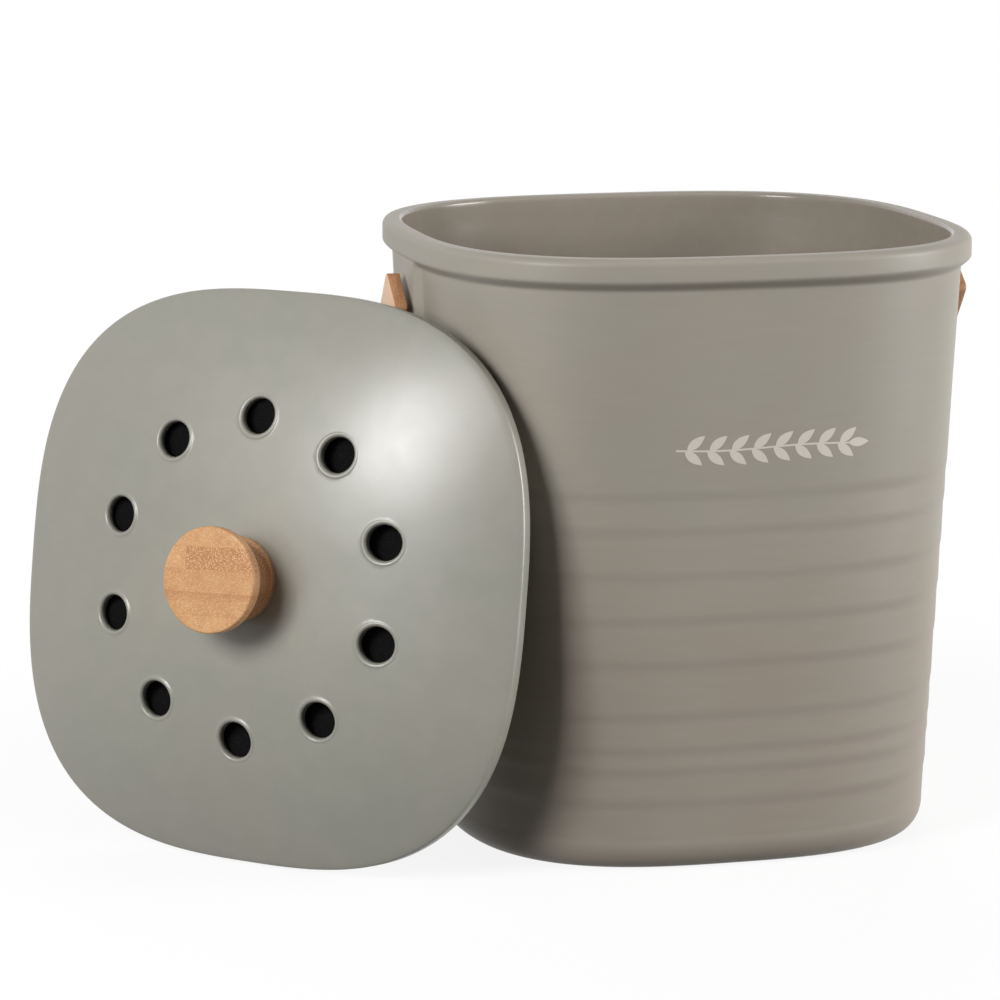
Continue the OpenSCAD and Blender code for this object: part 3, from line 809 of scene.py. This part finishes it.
class CADDY_OT_handle(bpy.types.Operator):
    """Bends the laminated bamboo strip into the handle and hangs it at the back"""
    bl_idname = "caddy.handle"
    bl_label = "Handle"

    def execute(self, context):
        s = panel("handle")
        low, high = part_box("handle")
        outer = s.reach + s.thickness
        tilt = math.asin(high[1] / math.hypot(outer, s.width / 2)) - math.atan2(s.width / 2, outer)
        half = (high[0] - low[0]) / 2 - s.thickness / 2
        bend = s.bend - s.thickness / 2
        top = s.reach + s.thickness / 2
        heights = [-s.end, -s.end + 0.15 * MM, -s.end + 0.4 * MM]
        heights += even(-s.end + 0.8 * MM, -s.end + 3.6 * MM, 0.4 * MM)
        heights += even(-s.end + 6 * MM, top - bend, 4 * MM)[:-1]
        path = [(half, z, 0.0) for z in heights]
        path += [
            (half - bend + bend * cos(a), top - bend + bend * sin(a), a)
            for a in even(0.0, pi / 2, pi / 60)
        ]
        path += [(x, top, pi / 2) for x in even(half - bend, 0.0, 4 * MM)[1:]]
        path += [(-x, z, pi - a) for x, z, a in reversed(path[:-1])]
        points, grain, cut, rings = [], [], [], []
        run = 0.0
        for k, (x, z, a) in enumerate(path):
            if k:
                run += math.hypot(x - path[k - 1][0], z - path[k - 1][1])
            from_end = min(z + s.end, s.corner) if abs(abs(x) - half) < 1e-6 and z < top - bend else s.corner
            narrow = s.corner - math.sqrt(max(s.corner ** 2 - (s.corner - from_end) ** 2, 0.0))
            round_in = 0.35 * MM * (1 - smooth(0.0, 0.4 * MM, from_end))
            wide, thick = s.width / 2 - narrow, s.thickness / 2 - round_in
            ring = []
            for across, depth in rounded_box(wide, thick, s.edge, 4):
                ring.append((x + depth * cos(a), across, z + depth * sin(a)))
                grain.append((run, across, depth))
                edge_share = smooth(wide - s.edge * 1.1, wide - s.edge * 0.3, abs(across))
                cut.append(1.0 if k in (0, 1, len(path) - 1, len(path) - 2) else edge_share * 0.85)
            rings.append(ring)
        points, faces = loft(rings)
        turn = Matrix.Translation((0, 0, PIVOT_Z)) @ Euler((tilt - pi, 0, 0)).to_matrix().to_4x4()
        placed = [turn @ Vector(p) for p in points]
        handle = piece("bent_handle", placed, faces, [bent_bamboo()], HANDLE, grain=grain, cut=cut)
        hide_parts("handle")
        return {"FINISHED"}


class CADDY_OT_pivots(bpy.types.Operator):
    """Finishes the metal parts of the handle's pivots and of the knob"""
    bl_idname = "caddy.pivots"
    bl_label = "Pivots"

    def execute(self, context):
        steel = brushed_steel()
        for name in ("pivot_screw", "handle_spacer", "inner_washer", "cap_nut"):
            for side in ("left", "right"):
                dress(name + "_" + side, steel)
        dress("knob_screw", steel)
        dress("knob_washer", steel)
        dress("knob_insert", plain_brass())
        return {"FINISHED"}


def dress(node, material):
    """Gives a CAD node's object one material."""
    slots = frame["nodes"][node].data.materials
    slots.clear()
    slots.append(material)


# The lid

def vent_places():
    """Middles of the vents in the lid's frame."""
    s = panel("lid")
    turns = [pi / 2 - 2 * pi * i / s.vents for i in range(s.vents)]
    return [(s.vent_circle / 2 * cos(a), s.vent_circle / 2 * sin(a)) for a in turns]


def cut_sheet(outline, inner_points, holes, clear, halo=()):
    """Triangles over an outline's inside, with round holes of one radius and even rings of points round them.

    Gives the points, the triangles and the point numbers of the outline and of each hole's rim.
    """
    steps, spare, scale = 48, 0.9 * MM, 1 / MM
    free = clear + (halo[-1] if halo else 0.0) + spare
    flat = []
    loops = [add_ring(flat, outline)] + [add_ring(flat, circle(clear, steps, centre)) for centre in holes]
    edges = [edge for loop in loops for edge in zip(loop, loop[1:] + loop[:1])]
    for centre in holes:
        for wider in halo:
            flat += circle(clear + wider, steps, centre)
    flat += [p for p in inner_points if all(math.dist(p, centre) > free for centre in holes)]
    made = delaunay_2d_cdt([Vector((x * scale, y * scale)) for x, y in flat], edges, [], 0, 1e-5, True)
    verts = [(v.x / scale, v.y / scale) for v in made[0]]
    number = {old: new for new, olds in enumerate(made[3]) for old in olds}
    faces = []
    for face in made[2]:
        middle = [sum(verts[i][k] for i in face) / 3 for k in (0, 1)]
        if all(math.dist(middle, centre) > clear * 0.98 for centre in holes):
            faces.append(tuple(face))
    return verts, faces, [[number[i] for i in loop] for loop in loops]


def line_hole(points, faces, centre, top_rim, low_rim, section):
    """Closes a hole between the sheet's two sides with rings: radius, height and which side they follow."""
    rows = [top_rim]
    for radius, rise, low_side in section:
        rim = low_rim if low_side else top_rim
        ring = zip(circle(radius, len(rim), centre), rim)
        rows.append(add_ring(points, [(x, y, points[k][2] + rise) for (x, y), k in ring]))
    faces += sheet(rows + [low_rim])


def pierced_plate(cut, holes, top, bottom, section, rings):
    """A closed plate: a cut sheet at two heights, its holes lined and its border joined through rings."""
    flat, tris, (border, *rims) = cut
    under = len(flat)
    points = [(x, y, top(x, y)) for x, y in flat] + [(x, y, bottom(x, y)) for x, y in flat]
    faces = tris + [tuple(under + i for i in reversed(t)) for t in tris]
    for centre, rim in zip(holes, rims):
        line_hole(points, faces, centre, rim, [under + k for k in rim], section)
    rows = [border] + [add_ring(points, ring) for ring in rings] + [[under + i for i in border]]
    return points, faces + sheet(rows)


class CADDY_OT_lid(bpy.types.Operator):
    """Makes the domed lid with its vents, upright edge, spigot and filter wall"""
    bl_idname = "caddy.lid"
    bl_label = "Lid"

    def execute(self, context):
        s = panel("lid")
        power = panel("bucket").squareness
        half = s.width / 2
        around = 288
        turns = [2 * pi * i / around for i in range(around)]
        join, row_step, point_step = 0.72, 0.022, 2.1 * MM
        inner = []
        for k, share in enumerate(even(join - row_step, 0.02, row_step)):
            count = max(8, round(2 * pi * share * half * 1.06 / point_step))
            shift = 0.5 * (k % 2)
            inner += [squircle(share * half, 2 * pi * (i + shift) / count, power) for i in range(count)]
        r = s.vent_width / 2
        lip, narrow = s.vent_lip, r - 0.5 * MM
        section = [(r + 1.35 * MM, lip * 0.12, 0), (r + 1.1 * MM, lip * 0.55, 0), (r + 0.85 * MM, lip, 0)]
        for q, drop in arc(r + 0.6 * MM, -1.7 * MM, narrow - r - 0.6 * MM, 90, 0, 8, 1.7 * MM):
            section.append((q, lip + drop, 0))
        section += [(narrow, 0.25 * MM, 1), (narrow + 0.25 * MM, 0.0, 1)]
        vents = vent_places()
        outline = [squircle(join * half, a, power) for a in turns]
        clear, halo = r + 1.7 * MM, (0.9 * MM, 1.9 * MM, 3.1 * MM)
        cut = cut_sheet(outline, inner, vents, clear, halo)
        profile = self.edge_profile(s, half, join)
        rings = [[(*squircle(wide, a, power), z) for a in turns] for wide, z in profile]

        def outside(x, y):
            return dome_height(squircle_half(x, y, power) / half)

        def ceiling(x, y):
            return outside(x, y) - s.shell

        points, faces = pierced_plate(cut, vents, outside, ceiling, section, rings)
        skin = moulded_clay("clay_lid", 0.35, 0.74, (0.3, 0.3, 0.3), panel("colours").clay_cool)
        lid = lid_piece("lid_shell", points, faces, skin)
        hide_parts("lid")
        self.filter_wall(s, panel("filter"), power, skin)
        return {"FINISHED"}

    def edge_profile(self, s, half, join):
        """Profile from the dome over the upright edge and round the spigot to the ceiling inside."""
        spigot_in = s.spigot_half - s.spigot_wall
        ceiling = dome_height(spigot_in / half) - s.shell
        bead = 0.8 * MM
        profile = [(share * half, dome_height(share)) for share in even(join + 0.012, 0.985, 0.012)]
        profile += near(half, s.edge, (-1, 0.4), (-0.6, 0.17), (-0.3, -0.08), (-0.1, -0.42))
        profile += near(half, s.edge, (0, -0.9), (0, -2.2))
        profile += near(half, 0.0, (0, 1), (-0.12, 0.4), (-0.5, 0.06), (-1, 0), (-4, 0))
        profile += near(s.spigot_half, 0.0, (0.7, 0), (0.15, -0.15), (0, -0.7), (-0.2, -4))
        profile += arc(s.spigot_half - 1.1 * MM, bead - s.spigot, bead, 0, -90, 4)
        profile += arc(spigot_in + 0.5 * MM, bead - s.spigot, bead, -90, -180, 4)
        profile += near(spigot_in, 0.0, (-0.2, 0)) + near(spigot_in, ceiling, (-0.1, -2))
        profile += arc(spigot_in - 1.6 * MM, ceiling - 1.4 * MM, 1.5 * MM, 0, 75, 4)
        inward = even((spigot_in - 2.2 * MM) / half, join + 0.01, 0.02)
        return profile + [(share * half, dome_height(share) - s.shell) for share in inward]

    def filter_wall(self, s, f, power, skin):
        """The round wall under the lid that holds the filter, with three ledges for the cover's lugs."""
        lug_space, ledge, ramp_low, ramp_high = 1.9 * MM, 1.4 * MM, 0.018, 0.035
        inner = f.width / 2 + f.gap
        outer = inner + f.wall
        ledge_top = filter_heights()[2] - lug_space
        low = ledge_top - ledge
        steps, third = 360, 2 * pi / 3
        points, rows = [], []
        for i in range(steps):
            a = 2 * pi * i / steps
            off_lug = abs((a + third / 2) % third - third / 2)
            reach = inner - f.lug * smooth(f.lug_angle + ramp_high, f.lug_angle + ramp_low, off_lug)
            share = squircle_half(cos(a), sin(a), power) * inner * 2 / s.width
            top = dome_height(share) - s.shell / 2
            section = [(inner, top)] + near(inner, ledge_top, (0, 0.3), (-0.02, 0.02))
            section += near(reach, ledge_top, (0.25, 0), (0, -0.25)) + near(reach, low, (0, 0.3), (0.3, 0))
            section += near(outer, low, (-0.4, 0), (0, 0.4)) + [(outer, top)]
            rows.append(add_ring(points, [(r * cos(a), r * sin(a), z) for r, z in section]))
        lid_piece("filter_wall", points, sheet(rows + rows[:1]), skin)


class CADDY_OT_knob(bpy.types.Operator):
    """Turns the laminated bamboo knob"""
    bl_idname = "caddy.knob"
    bl_label = "Knob"

    def execute(self, context):
        s = panel("lid")
        r, neck, base, top = s.knob_width / 2, s.knob_neck / 2, s.knob_base / 2, s.knob_height
        base_top, head_low = 2.6 * MM, top - 5.0 * MM
        profile = [(f * base, 0.0) for f in (0.02, 0.4, 0.8)]
        profile += arc(base - 0.5 * MM, 0.5 * MM, 0.5 * MM, -90, 0, 4)
        profile += arc(base - 0.6 * MM, base_top - 0.6 * MM, 0.6 * MM, 0, 80, 4)
        for t in even(0.03, 1.0, 0.03):
            flare = (base - 1.5 * MM - neck) * (1 - t) ** 3 + (r - 1.5 * MM - neck) * t ** 3
            profile.append((neck + flare, base_top + (head_low - base_top) * t))
        profile += near(r, head_low, (-0.8, 0.18), (-0.3, 0.55), (-0.05, 1.1))
        profile += arc(r - 0.8 * MM, top - 0.8 * MM, 0.8 * MM, 0, 90, 8)
        profile += [(f * r, top) for f in (0.8, 0.65, 0.5, 0.35, 0.2, 0.02)]
        points, faces = lathe(profile, 160)
        seat = dome_height((base + 1 * MM) / (s.width / 2))
        raised = [(x, y, z + seat) for x, y, z in points]
        knob = lid_piece("turned_knob", raised, faces, turned_bamboo(), grain=points)
        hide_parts("knob")
        return {"FINISHED"}


class CADDY_OT_filter(bpy.types.Operator):
    """Makes the felt filter and its twist-off cover"""
    bl_idname = "caddy.filter"
    bl_label = "Filter"

    def execute(self, context):
        f = panel("filter")
        top, bottom, cover_top, cover_bottom = filter_heights()
        r, soft, rings, middle = f.width / 2, 1.2 * MM, 24, 0.3 * MM
        spokes = [r * k / rings + middle for k in range(rings - 1)]
        profile = [(q, bottom) for q in spokes]
        profile += arc(r - soft, bottom + soft, soft, -90, 0, 4)
        profile += arc(r - soft, top - soft, soft, 0, 90, 4)
        profile += [(q, top) for q in reversed(spokes)]
        points, faces = lathe(profile, 144)
        felt = lid_piece("felt_filter", points, faces, carbon_felt())
        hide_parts("carbon_filter")
        self.cover(f, cover_top, cover_bottom)
        return {"FINISHED"}

    def cover(self, f, top, bottom):
        """The perforated cover with its lugs and finger grip."""
        lug_end = f.width / 2 + f.gap - 0.3 * MM
        rim = lug_end - f.lug
        edge = rim - 0.6 * MM
        pitch, hole, steps = f.hole * 1.55, f.hole / 2, 240
        first, border = 22 * MM + f.hole * 0.9, f.hole * 0.75
        holes = []
        r = first
        while r <= rim - border:
            holes += circle(r, math.floor(2 * pi * r / pitch))
            r += pitch
        filling, spacing = [], 2.6 * MM
        for k, q in enumerate(even(edge - 2.4 * MM, 1 * MM, spacing)):
            filling += circle(q, max(6, round(2 * pi * q / spacing)), turn=0.5 * (k % 2))
        cut = cut_sheet(circle(edge, steps), filling, holes, hole + 0.4 * MM)
        section = [(r, up, 0) for r, up in near(hole, 0.0, (0.1, -0.1), (0, -0.3))]
        section += [(r, up, 1) for r, up in near(hole, 0.0, (0, 0.3), (0.1, 0.1))]
        rings = []
        for share, out in ((0.06, 0.35), (0.25, 0.6), (0.75, 0.6), (0.94, 0.35)):
            z = top + (bottom - top) * share
            rings.append([(x, y, z) for x, y in circle(edge + out * MM, steps)])
        points, faces = pierced_plate(cut, holes, lambda x, y: top, lambda x, y: bottom, section, rings)
        plastic = cover_plastic()
        plate = lid_piece("cover_plate", points, faces, plastic, COVER)
        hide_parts("filter_cover")
        self.lugs(f, rim, lug_end, top, plastic)
        self.grip(bottom, plastic)

    def lugs(self, f, rim, lug_end, top, plastic):
        """Three lugs that ride over the ledges in the filter wall."""
        shells = []
        for n in range(3):
            rings = []
            for a in even(-f.lug_angle, f.lug_angle, f.lug_angle / 10):
                end = lug_end - 0.5 * MM * smooth(f.lug_angle * 0.9, f.lug_angle, abs(a))
                turn = a + 2 * pi * n / 3
                section = near(rim, top, (-1.5, 0)) + near(end, top, (-0.3, 0), (0, -0.3), (0, -1.3))
                section += near(end, top, (-0.3, -1.6)) + near(rim, top, (-1.5, -1.6))
                rings.append([(r * cos(turn), r * sin(turn), z) for r, z in section])
            shells.append(loft(rings))
        points, faces = gather(shells)
        lid_piece("cover_lugs", points, faces, plastic, COVER)

    def grip(self, bottom, plastic):
        """The bar across the cover that fingers turn it by."""
        half_long, half_wide, corner = 22 * MM, 3 * MM, 0.8 * MM
        rings = []
        for z, inset in ((0.6, 0.0), (-0.2, 0.0), (-3.0, 0.15), (-3.5, 0.35), (-3.85, 0.75), (-4.0, 1.3)):
            outline = rounded_box(half_long - inset * MM, half_wide - inset * MM, corner, 5)
            rings.append([(x, y, bottom + z * MM) for x, y in outline])
        points, faces = loft(rings)
        lid_piece("cover_grip", points, faces, plastic, COVER)


# The studio

def white_ground(name, kept, reach):
    """White to the camera and in reflections. Near the middle it keeps some of the light and shadow on it."""
    s = Shader(name)
    far = s.node("ShaderNodeVectorMath", {"operation": "LENGTH"}, {0: s.place()}, "Value")
    fade_from, unseen, seen = 0.45, (0.11, 0.11, 0.11), (0.97, 0.97, 0.97)
    close = 1 - far.between(reach * fade_from, reach)
    tone = s.mix(s.ray("Camera"), unseen, seen)
    dull = s.node("ShaderNodeBsdfDiffuse", {}, {"Color": tone})
    white = s.node("ShaderNodeEmission", {}, {"Color": (1.0, 1.0, 1.0), "Strength": 1.0})
    share = s.background() * (1 - close * kept)
    return s.finish(s.node("ShaderNodeMixShader", {}, {0: share, 1: dull, 2: white}))


def lamp(name, place, aim, size, power, shines=True):
    """A square soft lamp at a place, aimed at a point. One that doesn't shine leaves no highlight."""
    data = bpy.data.lights.new(name, "AREA")
    data.shape = "RECTANGLE"
    data.size, data.size_y = size
    data.energy = power
    obj = add_object(name, data)
    obj.location = place
    obj.rotation_euler = (Vector(aim) - Vector(place)).to_track_quat("-Z", "Y").to_euler()
    obj.visible_glossy = shines


class CADDY_OT_studio(bpy.types.Operator):
    """Sets the white floor, the soft lamps and the camera"""
    bl_idname = "caddy.studio"
    bl_label = "Studio"

    def execute(self, context):
        self.floor()
        self.world(context.scene)
        self.lamps()
        self.camera(context.scene)
        return {"FINISHED"}

    def floor(self):
        reach, depth = 6.0, 0.3 * MM
        mesh = bpy.data.meshes.new("studio_floor")
        corners = [(-reach, -reach), (reach, -reach), (reach, reach), (-reach, reach)]
        mesh.from_pydata([(x, y, -depth) for x, y in corners], [], [(0, 1, 2, 3)])
        mesh.materials.append(white_ground("studio_white", 0.12, 400.0))
        floor = add_object("studio_floor", mesh)

    def world(self, scene):
        s = Shader("studio_world", "worlds")
        plain, room_light = (1.0, 1.0, 1.0), 0.03
        dim = s.node("ShaderNodeBackground", {}, {"Color": plain, "Strength": room_light})
        white = s.node("ShaderNodeBackground", {}, {"Color": plain, "Strength": 1.0})
        light = s.node("ShaderNodeMixShader", {}, {0: s.background(), 1: dim, 2: white})
        scene.world = s.finish(light, "ShaderNodeOutputWorld")

    def lamps(self):
        aim = (-0.05, -0.02, 0.10)
        lamp("key_left", (-1.03, -0.435, 0.42), aim, (0.36, 0.36), 2.0, shines=False)
        lamp("sheen_left", (-0.780, -0.575, 0.530), aim, (0.34, 0.34), 7.6)
        lamp("right_box", (1.43, -0.64, 0.33), aim, (0.7, 1.1), 34.0)
        lamp("top_fill", (0.0, -0.3, 1.8), aim, (1.0, 1.0), 3.2)
        lamp("back_fill", (0.35, 1.75, 0.75), aim, (1.3, 1.3), 26.0, shines=False)

    def camera(self, scene):
        distance, around, height = 1.4415, radians(-16.8), 0.3863
        pan, tilt = radians(2.43), radians(10.75)
        data = bpy.data.cameras.new("studio_camera")
        data.sensor_width = 36.0
        data.lens = 146.95
        data.clip_end = 50.0
        camera = add_object("studio_camera", data)
        camera.location = (distance * sin(around), -distance * cos(around), height)
        camera.rotation_euler = (pi / 2 - tilt, 0.0, around + pan)
        scene.camera = camera
        scene.view_settings.view_transform = "Standard"


class CADDY_PT_panel(bpy.types.Panel):
    """Lists the pieces of the caddy and the studio"""
    bl_idname = "CADDY_PT_panel"
    bl_label = "Kitchen caddy"
    bl_space_type = "VIEW_3D"
    bl_region_type = "UI"
    bl_category = "Caddy"

    def draw(self, context):
        for operator in OPERATORS:
            self.layout.operator(operator.bl_idname)
        for group in GROUPS:
            box = self.layout.box()
            sizes = getattr(context.scene, group)
            for key in sizes.__annotations__:
                box.prop(sizes, key)


OPERATORS = (
    CADDY_OT_bucket, CADDY_OT_print, CADDY_OT_handle, CADDY_OT_pivots, CADDY_OT_lid, CADDY_OT_knob,
    CADDY_OT_filter, CADDY_OT_studio,
)
GROUPS = {
    "caddy_bucket": CaddyBucketSizes,
    "caddy_handle": CaddyHandleSizes,
    "caddy_lid": CaddyLidSizes,
    "caddy_filter": CaddyFilterSizes,
    "caddy_colours": CaddyColours,
}


def register():
    for cls in (*GROUPS.values(), *OPERATORS, CADDY_PT_panel):
        bpy.utils.register_class(cls)
    for name, group in GROUPS.items():
        setattr(bpy.types.Scene, name, PointerProperty(type=group))


def unregister():
    for name in GROUPS:
        delattr(bpy.types.Scene, name)
    for cls in reversed((*GROUPS.values(), *OPERATORS, CADDY_PT_panel)):
        bpy.utils.unregister_class(cls)


def main():
    register()
    bpy.ops.caddy.bucket()
    bpy.ops.caddy.front_print()
    bpy.ops.caddy.handle()
    bpy.ops.caddy.pivots()
    bpy.ops.caddy.lid()
    bpy.ops.caddy.knob()
    bpy.ops.caddy.filter()
    bpy.ops.caddy.studio()
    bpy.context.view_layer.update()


if __name__ == "__main__":
    main()
